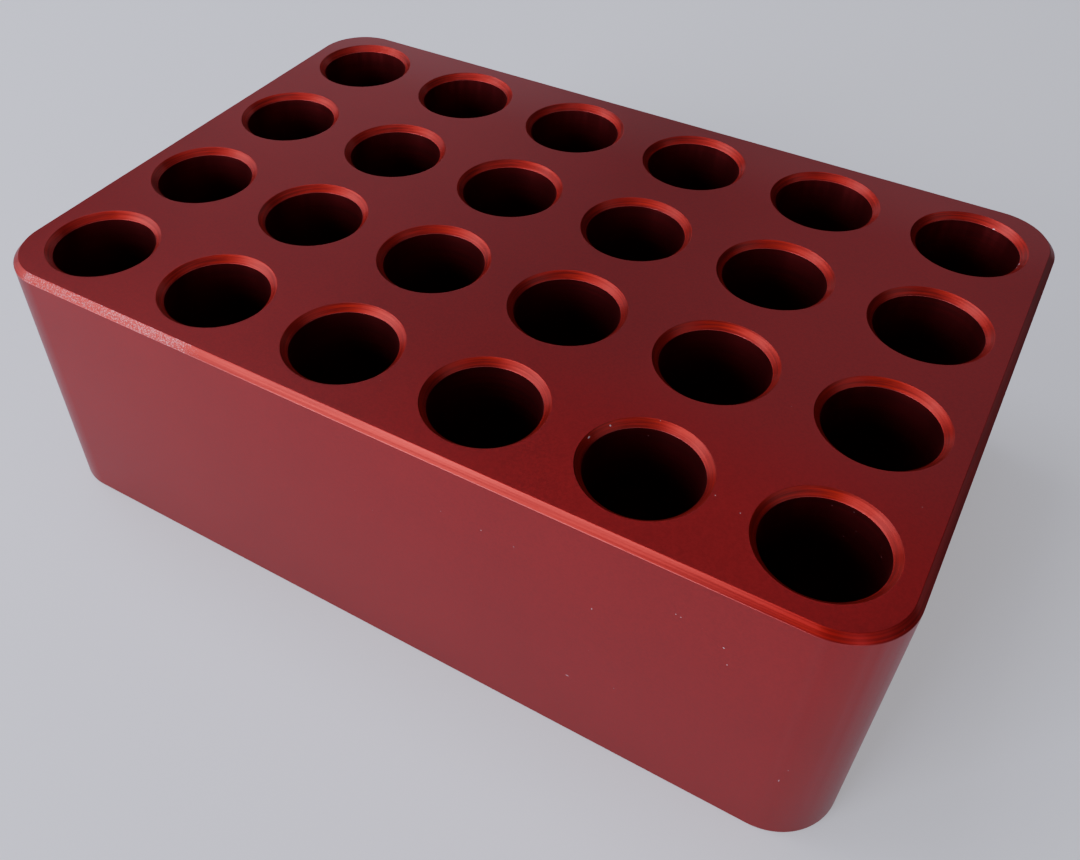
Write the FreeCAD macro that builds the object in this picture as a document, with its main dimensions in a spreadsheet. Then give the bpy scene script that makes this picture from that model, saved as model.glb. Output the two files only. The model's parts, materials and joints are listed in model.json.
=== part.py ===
import FreeCAD, Part
import math
import os

import Sketcher

# Cooling block: one machined aluminium block with a grid of blind round wells for sample tubes.
# Millimetres. X runs along the long side, Y along the short side and Z up. The origin is the
# centre of the underside, on the surface that the block stands on.

SIZES = {
    # the grid of wells
    "well_columns": 6,
    "well_rows": 4,
    # one well: a straight bore with a chamfered mouth and a flat floor with a chamfered corner
    "well_diameter": 14.2,
    "well_depth": 37.0,
    "mouth_chamfer": 0.9,
    "floor_chamfer": 0.8,
    # walls left standing: between two bores, between a bore and the side, and under the wells
    "web_thickness": 6.8,
    "rim_thickness": 4.2,
    "floor_thickness": 4.8,
    # the outside: upright corners, the chamfer round the top and the broken edge of the underside
    "corner_radius": 8.7,
    "edge_chamfer": 0.9,
    "base_chamfer": 0.3,
}

# Sizes that follow from the driving ones, as expressions of the sheet.
PITCH = "(Sizes.well_diameter + Sizes.web_thickness)"
MARGIN = "(Sizes.well_diameter / 2 + Sizes.rim_thickness)"
ROW_SPAN = f"(Sizes.well_columns - 1) * {PITCH}"
COLUMN_SPAN = f"(Sizes.well_rows - 1) * {PITCH}"
LENGTH = f"{ROW_SPAN} + 2 * {MARGIN}"
WIDTH = f"{COLUMN_SPAN} + 2 * {MARGIN}"
HEIGHT = "(Sizes.well_depth + Sizes.floor_thickness)"

NODE = "cooling_block"
POINT_GAP = 1e-4
VOLUME_SHARE = 1e-3


def make_sheet(doc):
    """Spreadsheet with one named cell for each driving dimension."""
    sheet = doc.addObject("Spreadsheet::Sheet", "Sizes")
    for row, (name, value) in enumerate(SIZES.items(), start=1):
        sheet.set(f"A{row}", name)
        sheet.set(f"B{row}", str(value))
        sheet.setAlias(f"B{row}", name)
    doc.recompute()
    return sheet


def add_sketch(body, name, role):
    """Empty sketch on the body's own origin plane with the given role."""
    plane = next(item for item in body.Origin.OriginFeatures if item.Role == role)
    sketch = body.newObject("Sketcher::SketchObject", name)
    sketch.AttachmentSupport = [(plane, "")]
    sketch.MapMode = "FlatFace"
    return sketch


def add_outline(sketch, points):
    """Closed outline of straight lines through the points, each end joined to the next start."""
    count = len(points)
    vectors = [FreeCAD.Vector(x, y, 0) for x, y in points]
    for index, start in enumerate(vectors):
        sketch.addGeometry(Part.LineSegment(start, vectors[(index + 1) % count]), False)
    for index in range(count):
        sketch.addConstraint(Sketcher.Constraint("Coincident", index, 2, (index + 1) % count, 1))


def add_direction(sketch, line, direction):
    """Hold a line of the sketch level or upright."""
    sketch.addConstraint(Sketcher.Constraint(direction, line))


def add_distance(sketch, kind, first, second, value, expression):
    """Signed distance between two (line, end) points, driven by an expression of the sheet."""
    index = sketch.addConstraint(Sketcher.Constraint(kind, *first, *second, value))
    sketch.setExpression(f"Constraints[{index}]", expression)


def edges_where(feature, test):
    """Names of the edges of a feature for which the test of their end points holds."""
    names = []
    for number, edge in enumerate(feature.Shape.Edges, start=1):
        if test([vertex.Point for vertex in edge.Vertexes]):
            names.append(f"Edge{number}")
    return names


def is_upright(points):
    """Whether an edge runs along Z."""
    low, high = points[0], points[-1]
    level = math.hypot(high.x - low.x, high.y - low.y)
    return level < POINT_GAP and abs(high.z - low.z) > POINT_GAP


def lies_at(level):
    """Test for edges that lie at one height."""
    return lambda points: all(abs(point.z - level) < POINT_GAP for point in points)


def add_edge_feature(body, kind, name, base, edges, size, expression):
    """Fillet or chamfer on the named edges of the feature before it."""
    feature = body.newObject(kind, name)
    feature.Base = (base, edges)
    feature.setExpression(size, expression)
    body.Document.recompute()
    return feature


def make_blank(body):
    """Block with rounded upright corners, a chamfered top and a broken underside edge."""
    doc = body.Document
    footprint = add_sketch(body, "footprint", "XY_Plane")
    add_outline(footprint, [(-60, -40), (60, -40), (60, 40), (-60, 40)])
    for line, direction in enumerate(("Horizontal", "Vertical", "Horizontal", "Vertical")):
        add_direction(footprint, line, direction)
    origin, corner, opposite = (-1, 1), (1, 2), (0, 1)
    footprint.addConstraint(Sketcher.Constraint("Symmetric", *opposite, *corner, *origin))
    add_distance(footprint, "DistanceX", (0, 1), (0, 2), 120, LENGTH)
    add_distance(footprint, "DistanceY", (1, 1), (1, 2), 80, WIDTH)

    stock = body.newObject("PartDesign::Pad", "stock")
    stock.Profile = footprint
    stock.setExpression("Length", HEIGHT)
    doc.recompute()

    corners = add_edge_feature(
        body, "PartDesign::Fillet", "upright_corners", stock,
        edges_where(stock, is_upright), "Radius", "Sizes.corner_radius",
    )
    top_level = corners.Shape.BoundBox.ZMax
    top_edge = add_edge_feature(
        body, "PartDesign::Chamfer", "top_edge", corners,
        edges_where(corners, lies_at(top_level)), "Size", "Sizes.edge_chamfer",
    )
    return add_edge_feature(
        body, "PartDesign::Chamfer", "underside_edge", top_edge,
        edges_where(top_edge, lies_at(0)), "Size", "Sizes.base_chamfer",
    )


def make_first_well(body):
    """The front left well, turned from half of its section.

    The section's lines, in order: floor, floor chamfer, bore, mouth chamfer, top plane and axis.
    """
    section = add_sketch(body, "well_section", "XZ_Plane")
    section.setExpression("AttachmentOffset.Base.x", f"-({ROW_SPAN}) / 2")
    section.setExpression("AttachmentOffset.Base.z", f"{COLUMN_SPAN} / 2")
    add_outline(section, [(0, 5), (6, 5), (7, 6), (7, 40), (8, 41), (0, 41)])
    floor, bore, top, axis = 0, 2, 4, 5
    for line, direction in (
        (floor, "Horizontal"), (bore, "Vertical"), (top, "Horizontal"), (axis, "Vertical"),
    ):
        add_direction(section, line, direction)
    section.addConstraint(Sketcher.Constraint("PointOnObject", floor, 1, -2))

    origin = (-1, 1)
    bore_low, bore_high = (bore, 1), (bore, 2)
    add_distance(section, "DistanceY", origin, (floor, 1), 5, "Sizes.floor_thickness")
    add_distance(section, "DistanceY", (floor, 1), (top, 2), 36, "Sizes.well_depth")
    add_distance(section, "DistanceX", (floor, 1), bore_low, 7, "Sizes.well_diameter / 2")
    add_distance(section, "DistanceX", (floor, 2), bore_low, 1, "Sizes.floor_chamfer")
    add_distance(section, "DistanceY", (floor, 2), bore_low, 1, "Sizes.floor_chamfer")
    add_distance(section, "DistanceX", bore_high, (top, 1), 1, "Sizes.mouth_chamfer")
    add_distance(section, "DistanceY", bore_high, (top, 1), 1, "Sizes.mouth_chamfer")

    well = body.newObject("PartDesign::Groove", "first_well")
    well.Profile = section
    well.ReferenceAxis = (section, ["V_Axis"])
    well.Angle = 360
    body.Document.recompute()
    return well, section


def make_well_grid(body, well, section):
    """The well repeated along the long side and towards the back."""
    grid = body.newObject("PartDesign::LinearPattern", "well_grid")
    grid.Originals = [well]
    grid.Direction = (section, ["H_Axis"])
    grid.setExpression("Length", ROW_SPAN)
    grid.setExpression("Occurrences", "Sizes.well_columns")
    grid.Direction2 = (section, ["N_Axis"])
    grid.Reversed2 = True
    grid.setExpression("Length2", COLUMN_SPAN)
    grid.setExpression("Occurrences2", "Sizes.well_rows")
    body.Tip = grid
    body.Document.recompute()
    return grid


def well_volume(sheet):
    """Volume of one well: the bore, less its floor corner, plus its mouth chamfer."""
    radius = sheet.well_diameter / 2
    floor_ring = math.pi * sheet.floor_chamfer**2 * (radius - sheet.floor_chamfer / 3)
    mouth_ring = math.pi * sheet.mouth_chamfer**2 * (radius + sheet.mouth_chamfer / 3)
    return math.pi * radius**2 * sheet.well_depth - floor_ring + mouth_ring


def check_removed(before, after, expected):
    """Stop if the cut between two shapes isn't the volume that it should be."""
    removed = before.Volume - after.Volume
    if abs(removed - expected) > VOLUME_SHARE * expected:
        raise ValueError(f"removed {removed:.1f} mm3 where {expected:.1f} mm3 was expected")


def check_document(doc, bodies):
    """Stop if any object has failed or a body isn't one valid solid."""
    for item in doc.Objects:
        if "Invalid" in item.State or "Error" in item.State:
            raise ValueError(f"{item.Name} is in state {item.State}")
    for body in bodies:
        if body.Shape.isNull() or not body.Shape.isValid() or len(body.Shape.Solids) != 1:
            raise ValueError(f"{body.Label} isn't one valid solid")


def make_block(doc):
    """The whole block as one body."""
    body = doc.addObject("PartDesign::Body", "CoolingBlock")
    body.Label = NODE
    body.Placement = FreeCAD.Placement()
    blank = make_blank(body)
    well, section = make_first_well(body)
    grid = make_well_grid(body, well, section)
    one = well_volume(doc.Sizes)
    check_removed(blank.Shape, well.Shape, one)
    check_removed(blank.Shape, grid.Shape, one * doc.Sizes.well_columns * doc.Sizes.well_rows)
    return body


def main():
    """Build the document, check it and write each body to its own file."""
    doc = FreeCAD.newDocument("ColdBlock")
    make_sheet(doc)
    bodies = [make_block(doc)]
    doc.recompute()
    check_document(doc, bodies)
    os.makedirs("parts", exist_ok=True)
    for body in bodies:
        body.Shape.exportStep(os.path.join("parts", f"{body.Label}.step"))
        box = body.Shape.BoundBox
        print(f"{body.Label}: {box.XLength:.2f} x {box.YLength:.2f} x {box.ZLength:.2f} mm,")
        print(f"volume {body.Shape.Volume:.0f} mm3, {len(body.Shape.Faces)} faces")


main()
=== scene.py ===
import json
import logging
import math
from dataclasses import dataclass
from enum import Enum
from typing import Callable

import bmesh
import bpy
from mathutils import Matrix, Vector


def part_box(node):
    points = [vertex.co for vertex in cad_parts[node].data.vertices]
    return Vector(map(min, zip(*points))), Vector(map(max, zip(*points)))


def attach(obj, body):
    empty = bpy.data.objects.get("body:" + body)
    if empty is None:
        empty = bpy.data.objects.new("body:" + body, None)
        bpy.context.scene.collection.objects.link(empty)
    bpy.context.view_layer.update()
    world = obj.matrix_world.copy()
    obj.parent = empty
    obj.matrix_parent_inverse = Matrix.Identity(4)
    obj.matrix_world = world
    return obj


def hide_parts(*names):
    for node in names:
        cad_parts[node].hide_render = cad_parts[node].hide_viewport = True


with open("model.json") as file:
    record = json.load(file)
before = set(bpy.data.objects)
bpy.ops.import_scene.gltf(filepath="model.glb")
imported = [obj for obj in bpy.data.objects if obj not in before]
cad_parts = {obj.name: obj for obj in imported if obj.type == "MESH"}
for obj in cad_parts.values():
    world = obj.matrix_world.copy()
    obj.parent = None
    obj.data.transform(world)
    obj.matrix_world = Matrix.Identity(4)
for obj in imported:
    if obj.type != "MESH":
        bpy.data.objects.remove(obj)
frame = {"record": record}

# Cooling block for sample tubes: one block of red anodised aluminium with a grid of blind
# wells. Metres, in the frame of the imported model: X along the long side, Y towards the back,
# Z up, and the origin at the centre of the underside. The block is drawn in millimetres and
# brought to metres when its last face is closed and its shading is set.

NODE = "cooling_block"
BODY = "root"

MM = 0.001
TOUCH = 1e-3  # drawing distance below which two places are the same, in millimetres

Pair = tuple[float, float]
Triple = tuple[float, float, float]
Piece = bpy.types.Object

log = logging.getLogger("cooling_block")


class Element(Enum):
    """Kind of element that is picked in edit mode."""

    EDGE = "EDGE"
    FACE = "FACE"


class Surface(Enum):
    """Machined surfaces of the block, in the order of its material slots."""

    SATIN = 0
    MILLED = 1
    TURNED = 2
    BORED = 3


# Working in edit mode


def choose(piece: Piece) -> None:
    """Make a piece the active object and the only selected one.

    Args:
        piece: The mesh object to choose.
    """
    bpy.ops.object.select_all(action="DESELECT")
    piece.select_set(True)
    bpy.context.view_layer.objects.active = piece


def start_editing(piece: Piece) -> None:
    """Choose a piece and open it for editing.

    Args:
        piece: The mesh object to edit.
    """
    choose(piece)
    bpy.ops.object.mode_set(mode="EDIT")


def stop_editing() -> None:
    """Leave edit mode."""
    bpy.ops.object.mode_set(mode="OBJECT")


def pick(kind: Element, test: Callable[..., bool]) -> None:
    """Select, in the mesh that is open, the elements for which a test holds, and nothing else.

    Args:
        kind: What to pick.
        test: Called with the two ends of an edge, or with the centre and normal of a face.
    """
    bpy.ops.mesh.select_mode(type=kind.value)
    bpy.ops.mesh.select_all(action="DESELECT")
    piece = bpy.context.object
    mesh = bmesh.from_edit_mesh(piece.data)
    if kind is Element.EDGE:
        for edge in mesh.edges:
            if test(*(corner.co for corner in edge.verts)):
                edge.select_set(True)
    else:
        for face in mesh.faces:
            if test(face.calc_center_median(), face.normal):
                face.select_set(True)
    bmesh.update_edit_mesh(piece.data)


def both(test: Callable[[Vector], bool]) -> Callable[[Vector, Vector], bool]:
    """Test of an edge that asks the same of both its ends.

    Args:
        test: The question about one end.

    Returns:
        The test of the edge.
    """
    return lambda start, end: test(start) and test(end)


def bevel(width: float, steps: int) -> None:
    """Bevel the picked edges.

    Args:
        width: How far the new edges lie from the old one, along the faces.
        steps: Number of strips across the bevel.
    """
    bpy.ops.mesh.bevel(
        offset_type="OFFSET", offset=width, segments=steps, profile=0.5, affect="EDGES"
    )


# Writing shader nodes


Socket = bpy.types.NodeSocket
Sockets = dict[str, Socket]
Value = float | tuple[float, ...] | Socket


class Op(Enum):
    """Sums that a Math node does."""

    ADD = "ADD"
    SUBTRACT = "SUBTRACT"
    MULTIPLY = "MULTIPLY"
    DIVIDE = "DIVIDE"
    ABSOLUTE = "ABSOLUTE"
    GREATER = "MAXIMUM"
    LESSER = "MINIMUM"
    ROOT = "SQRT"
    WRAP = "WRAP"
    BELOW = "LESS_THAN"


class VectorOp(Enum):
    """Sums that a Vector Math node does."""

    SUBTRACT = "SUBTRACT"
    DIVIDE = "DIVIDE"
    LENGTH = "LENGTH"
    SCALE = "SCALE"


class Graph:
    """Writes nodes into one node tree, so that a sum over sockets reads as a line of code."""

    def __init__(self, tree: bpy.types.NodeTree, given: Sockets) -> None:
        """Work on a tree.

        Args:
            tree: The node tree of a material or of a node group.
            given: What the tree has at hand: a group's inputs, or the measures of the place on
                the block. Each effect that takes something of the same name gets it.
        """
        self.tree = tree
        self.given = given

    def __getitem__(self, label: str) -> Socket:
        """What the tree has at hand under a name."""
        return self.given[label]

    def node(self, kind: str, **inputs: Value) -> bpy.types.Node:
        """Add a node and feed its inputs.

        Args:
            kind: Blender's name of the node's type.
            inputs: What each input gets, its spaces written as underscores.

        Returns:
            The node.
        """
        node = self.tree.nodes.new(kind)
        for label, value in inputs.items():
            self.feed(node.inputs[label.replace("_", " ")], value)
        return node

    def feed(self, socket: Socket, value: Value) -> None:
        """Give an input a plain value or a link.

        Args:
            socket: The input.
            value: A number, a colour or vector, or the output of another node.
        """
        if isinstance(value, bpy.types.NodeSocket):
            self.tree.links.new(value, socket)
        else:
            socket.default_value = value

    def sum(self, op: Op, *values: Value) -> Socket:
        """Add a Math node.

        Args:
            op: What it does.
            values: Its inputs, in order.

        Returns:
            The result.
        """
        node = self.tree.nodes.new("ShaderNodeMath")
        node.operation = op.value
        for socket, value in zip(node.inputs, values):
            self.feed(socket, value)
        return node.outputs[0]

    def across(self, op: VectorOp, *values: Value) -> Socket:
        """Add a Vector Math node.

        Args:
            op: What it does.
            values: Its inputs, in order; the factor of SCALE comes second.

        Returns:
            The result, a number for LENGTH and a vector for the others.
        """
        node = self.tree.nodes.new("ShaderNodeVectorMath")
        node.operation = op.value
        sockets = [node.inputs[0], node.inputs["Scale" if op is VectorOp.SCALE else 1]]
        for socket, value in zip(sockets, values):
            self.feed(socket, value)
        return node.outputs["Value" if op is VectorOp.LENGTH else "Vector"]

    def product(self, first: Value, *others: Value) -> Socket:
        """Multiply numbers.

        Args:
            first: The first number.
            others: The others, in order.

        Returns:
            Their product.
        """
        for other in others:
            first = self.sum(Op.MULTIPLY, first, other)
        return first

    def axes(self, place: Socket) -> Sockets:
        """Split a place into its X, Y and Z."""
        node = self.node("ShaderNodeSeparateXYZ", Vector=place)
        return {socket.name: socket for socket in node.outputs}

    def ramp(self, value: Value, start: Value, end: Value) -> Socket:
        """Rise smoothly from 0 to 1 as a value goes from start to end.

        Args:
            value: What is measured.
            start: Where the result is 0.
            end: Where the result is 1.

        Returns:
            The result, from 0 to 1.
        """
        node = self.tree.nodes.new("ShaderNodeMapRange")
        node.interpolation_type = "SMOOTHSTEP"
        for label, given in (("Value", value), ("From Min", start), ("From Max", end)):
            self.feed(node.inputs[label], given)
        return node.outputs["Result"]

    def spread(self, value: Value, low: float, high: float) -> Socket:
        """Map 0..1 to low..high.

        Args:
            value: What is mapped.
            low: Result for 0.
            high: Result for 1.

        Returns:
            The mapped value.
        """
        node = self.tree.nodes.new("ShaderNodeMapRange")
        for label, given in (("Value", value), ("To Min", low), ("To Max", high)):
            self.feed(node.inputs[label], given)
        return node.outputs["Result"]

    def noise(
        self, place: Socket, size: float, detail: float, roughness: float = 0.5
    ) -> Socket:
        """Sample soft noise.

        Args:
            place: Where, in millimetres.
            size: Size of its cells, in millimetres.
            detail: How many finer layers it has.
            roughness: How strong the finer layers are.

        Returns:
            The noise, round 0.5.
        """
        node = self.node(
            "ShaderNodeTexNoise",
            Vector=place,
            Scale=1.0 / size,
            Detail=detail,
            Roughness=roughness,
        )
        return node.outputs["Fac"]

    def mix(self, share: Value, first: Value, second: Value, colour: bool = False) -> Socket:
        """Mix two numbers or two colours.

        Args:
            share: How much of the second one shows, from 0 to 1.
            first: The first one.
            second: The second one.
            colour: Whether they are colours.

        Returns:
            The mixture.
        """
        node = self.tree.nodes.new("ShaderNodeMix")
        node.data_type, kind = ("RGBA", "RGBA") if colour else ("FLOAT", "VALUE")
        ends = [end for end in node.inputs if end.type == kind and end.name in ("A", "B")]
        for socket, value in zip((node.inputs["Factor"], *ends), (share, first, second)):
            self.feed(socket, value)
        return next(result for result in node.outputs if result.type == kind)

    def gather(self, mask: Socket, marks: "tuple[Mark, ...]") -> Socket:
        """Add single marks to a mask.

        Args:
            mask: The mask so far.
            marks: The marks.

        Returns:
            The mask with the marks.
        """
        for mark in marks:
            spot = self.effect(Speck(), Place=mark.place, Reach=mark.reach)
            mask = self.sum(Op.GREATER, mask, spot["Mask"])
        return mask

    def effect(self, effect: "Effect", **inputs: Value) -> Sockets:
        """Place a shared effect.

        Args:
            effect: The effect.
            inputs: What its inputs get, apart from what is at hand under the same name.

        Returns:
            Its outputs by name.
        """
        node = self.tree.nodes.new("ShaderNodeGroup")
        node.node_tree = effect.tree()
        for label in effect.takes:
            self.feed(node.inputs[label], inputs[label] if label in inputs else self[label])
        return {socket.name: socket for socket in node.outputs}


# Effects that the finishes share


class Effect:
    """A shader node group with named inputs and outputs, built once.

    Attributes:
        name: Name of the group.
        takes: Names of its inputs.
        gives: Names of its outputs.
        vectors: The names that stand for a vector; the others stand for a number.
    """

    name: str = ""
    takes: tuple[str, ...] = ("Millimetres",)
    gives: tuple[str, ...] = ("Mask",)
    vectors: tuple[str, ...] = ("Position", "Millimetres", "Place", "Reach")

    def draw(self, graph: Graph) -> Sockets:
        """Draw the nodes inside the group.

        Args:
            graph: The group's graph, which has its inputs at hand.

        Returns:
            What each output of the group gets.
        """
        raise NotImplementedError

    def tree(self) -> bpy.types.NodeTree:
        """Build the node group, the first time that it is asked for.

        Returns:
            The node group.
        """
        made = bpy.data.node_groups.get(self.name)
        if made is not None:
            return made
        tree = bpy.data.node_groups.new(self.name, "ShaderNodeTree")
        for side, labels in (("INPUT", self.takes), ("OUTPUT", self.gives)):
            for label in labels:
                kind = "NodeSocketVector" if label in self.vectors else "NodeSocketFloat"
                tree.interface.new_socket(label, in_out=side, socket_type=kind)
        entry = tree.nodes.new("NodeGroupInput")
        end = tree.nodes.new("NodeGroupOutput")
        drawn = self.draw(Graph(tree, {label: entry.outputs[label] for label in self.takes}))
        for label, socket in drawn.items():
            tree.links.new(socket, end.inputs[label])
        return tree


@dataclass(frozen=True)
class BlockPlace(Effect):
    """Where a point lies on the block, measured from its edges and wells, in millimetres.

    Attributes:
        high: The block's highest corner; the lowest one mirrors it in X and Y, at height zero.
        corner_radius: Radius of its upright corners.
        edge_chamfer: Width and height of the chamfer round the top.
        first_well: Axis of one of the wells.
        pitch: Distance from well to well.
        well: The well.
    """

    high: Vector
    corner_radius: float
    edge_chamfer: float
    first_well: Pair
    pitch: float
    well: "Well"
    name = "block_place"
    takes = ("Position",)
    gives = ("Millimetres", "Drop", "Well Radius", "Rim", "Lip")

    def draw(self, graph: Graph) -> Sockets:
        """Measure the drop from the top, and the distances from the nearest edges.

        Rim is the distance from the lower edge of the chamfer round the top, and Lip the one
        from the edge between the nearest well's bore and the chamfer of its mouth.

        Args:
            graph: The group's graph, which has its inputs at hand.

        Returns:
            The group's outputs by name.
        """
        place = graph.across(VectorOp.SCALE, graph["Position"], 1.0 / MM)
        parts = graph.axes(place)
        drop = graph.sum(Op.SUBTRACT, self.high.z, parts["Z"])
        past_x = self.past(graph, parts["X"], self.high.x - self.corner_radius)
        past_y = self.past(graph, parts["Y"], self.high.y - self.corner_radius)
        outside = self.length(
            graph, graph.sum(Op.GREATER, past_x, 0.0), graph.sum(Op.GREATER, past_y, 0.0)
        )
        within = graph.sum(Op.LESSER, graph.sum(Op.GREATER, past_x, past_y), 0.0)
        inset = graph.sum(Op.SUBTRACT, self.corner_radius, graph.sum(Op.ADD, outside, within))
        from_column = self.from_nearest(graph, parts["X"], self.first_well[0])
        from_row = self.from_nearest(graph, parts["Y"], self.first_well[1])
        well_radius = self.length(graph, from_column, from_row)
        return {
            "Millimetres": place,
            "Drop": drop,
            "Well Radius": well_radius,
            "Rim": self.length(graph, inset, graph.sum(Op.SUBTRACT, drop, self.edge_chamfer)),
            "Lip": self.length(
                graph,
                graph.sum(Op.SUBTRACT, well_radius, self.well.bore_radius),
                graph.sum(Op.SUBTRACT, drop, self.well.mouth_chamfer),
            ),
        }

    def past(self, graph: Graph, value: Socket, limit: float) -> Socket:
        """How far the size of a value is past a limit."""
        return graph.sum(Op.SUBTRACT, graph.sum(Op.ABSOLUTE, value), limit)

    def length(self, graph: Graph, across: Socket, along: Socket) -> Socket:
        """Length of the line with two legs at right angles."""
        squares = [graph.product(leg, leg) for leg in (across, along)]
        return graph.sum(Op.ROOT, graph.sum(Op.ADD, *squares))

    def from_nearest(self, graph: Graph, value: Socket, first: float) -> Socket:
        """Distance from the nearest line of wells."""
        offset = graph.sum(Op.SUBTRACT, value, first)
        return graph.sum(Op.WRAP, offset, self.pitch / 2, -self.pitch / 2)


@dataclass(frozen=True)
class SatinGrain(Effect):
    """Fine pitted grain of an etched surface.

    Attributes:
        pit_size: Size of the pits, in millimetres.
        speckle_size: Size of the speckles.
        low: Level of the noise at which a speckle is darkest.
        high: Level at which it is palest.
    """

    name = "satin_grain"
    gives = ("Height", "Tone")
    pit_size: float = 0.16
    speckle_size: float = 0.33
    low: float = 0.3
    high: float = 0.7

    def draw(self, graph: Graph) -> Sockets:
        """Sample fine pits and coarser speckles.

        Args:
            graph: The group's graph, which has its inputs at hand.

        Returns:
            The group's outputs by name.
        """
        place = graph["Millimetres"]
        pits = graph.noise(place, self.pit_size, detail=2.0, roughness=0.6)
        speckles = graph.noise(place, self.speckle_size, detail=3.0, roughness=0.65)
        return {"Height": pits, "Tone": graph.ramp(speckles, self.low, self.high)}


@dataclass(frozen=True)
class DyeClouds(Effect):
    """Wide soft clouds where the dye took a little more or less.

    Attributes:
        cloud_size: Size of the clouds, in millimetres.
    """

    name = "dye_clouds"
    gives = ("Tone",)
    cloud_size: float = 14.0

    def draw(self, graph: Graph) -> Sockets:
        """Sample wide noise."""
        return {"Tone": graph.noise(graph["Millimetres"], self.cloud_size, detail=2.0)}


@dataclass(frozen=True)
class CutterLines(Effect):
    """Fine parallel lines that a cutter leaves, each a level of the measure across them.

    Attributes:
        band: How many lines make a band.
        low: Level of the noise at which a line is darkest.
        high: Level at which it is palest.
    """

    name = "cutter_lines"
    takes = ("Millimetres", "Across", "Spacing", "Length")
    gives = ("Height", "Tone")
    band: float = 2.0
    low: float = 0.3
    high: float = 0.7

    def draw(self, graph: Graph) -> Sockets:
        """Stretch noise along the lines.

        Args:
            graph: The group's graph, which has its inputs at hand.

        Returns:
            The group's outputs by name.
        """
        parts = graph.axes(graph["Millimetres"])
        place = graph.node(
            "ShaderNodeCombineXYZ",
            X=graph.sum(Op.DIVIDE, parts["X"], graph["Length"]),
            Y=graph.sum(Op.DIVIDE, parts["Y"], graph["Length"]),
            Z=graph.sum(Op.DIVIDE, graph["Across"], graph["Spacing"]),
        ).outputs["Vector"]
        lines = graph.noise(place, size=1.0, detail=3.0, roughness=0.6)
        bands = graph.noise(place, self.band, detail=1.0)
        tone = graph.mix(0.5, lines, bands)
        return {"Height": lines, "Tone": graph.ramp(tone, self.low, self.high)}


@dataclass(frozen=True)
class EdgeWearAndHighlight(Effect):
    """Thin pale line along an edge, partly oxide rubbed bright and partly a painted highlight.

    Attributes:
        ragged_size: How soon the line's width changes along it, in millimetres.
        narrowest: Its least width, as a share of its mean.
        widest: Its greatest width.
    """

    name = "edge_wear_and_highlight"
    takes = ("Millimetres", "Distance", "Width")
    ragged_size: float = 0.8
    narrowest: float = 0.35
    widest: float = 1.65

    def draw(self, graph: Graph) -> Sockets:
        """Fade from the edge, over a width that wanders.

        Args:
            graph: The group's graph, which has its inputs at hand.

        Returns:
            The group's outputs by name.
        """
        ragged = graph.noise(
            graph["Millimetres"], self.ragged_size, detail=4.0, roughness=0.7
        )
        share = graph.spread(ragged, self.narrowest, self.widest)
        width = graph.product(graph["Width"], share)
        return {"Mask": graph.ramp(graph["Distance"], width, 0.0)}


@dataclass(frozen=True)
class Dust(Effect):
    """Pale specks of dust, most of them hardly wider than a hair.

    Attributes:
        smallest: Size of the smallest speck, as a share of the largest.
        core: Share of a speck's size at which it is at its thickest.
        faintest: Thickness of the faintest speck, as a share of the thickest.
    """

    name = "dust"
    takes = ("Millimetres", "Spacing", "Size", "Share")
    smallest: float = 0.4
    core: float = 0.5
    faintest: float = 0.25

    def draw(self, graph: Graph) -> Sockets:
        """Put a speck of its own size at a share of scattered points.

        Args:
            graph: The group's graph, which has its inputs at hand.

        Returns:
            The group's outputs by name.
        """
        cells = graph.node(
            "ShaderNodeTexVoronoi",
            Vector=graph["Millimetres"],
            Scale=graph.sum(Op.DIVIDE, 1.0, graph["Spacing"]),
        )
        cells.voronoi_dimensions = "3D"
        drawn = graph.node("ShaderNodeSeparateColor", Color=cells.outputs["Color"]).outputs
        distance = graph.product(cells.outputs["Distance"], graph["Spacing"])
        size = graph.product(graph["Size"], graph.spread(drawn["Green"], self.smallest, 1.0))
        speck = graph.ramp(distance, size, graph.product(size, self.core))
        chosen = graph.sum(Op.BELOW, drawn["Red"], graph["Share"])
        strength = graph.spread(drawn["Blue"], self.faintest, 1.0)
        return {"Mask": graph.product(speck, chosen, strength)}


@dataclass(frozen=True)
class Speck(Effect):
    """One speck, fibre or nick, or a painted glint, at a place of its own.

    Attributes:
        core: Share of its reach within which it is at its thickest.
    """

    name = "speck"
    takes = ("Millimetres", "Place", "Reach")
    core: float = 0.55

    def draw(self, graph: Graph) -> Sockets:
        """Fade out at the surface of a small ellipsoid.

        Args:
            graph: The group's graph, which has its inputs at hand.

        Returns:
            The group's outputs by name.
        """
        offset = graph.across(VectorOp.SUBTRACT, graph["Millimetres"], graph["Place"])
        reach = graph.across(VectorOp.DIVIDE, offset, graph["Reach"])
        length = graph.across(VectorOp.LENGTH, reach)
        return {"Mask": graph.ramp(length, 1.0, self.core)}


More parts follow.
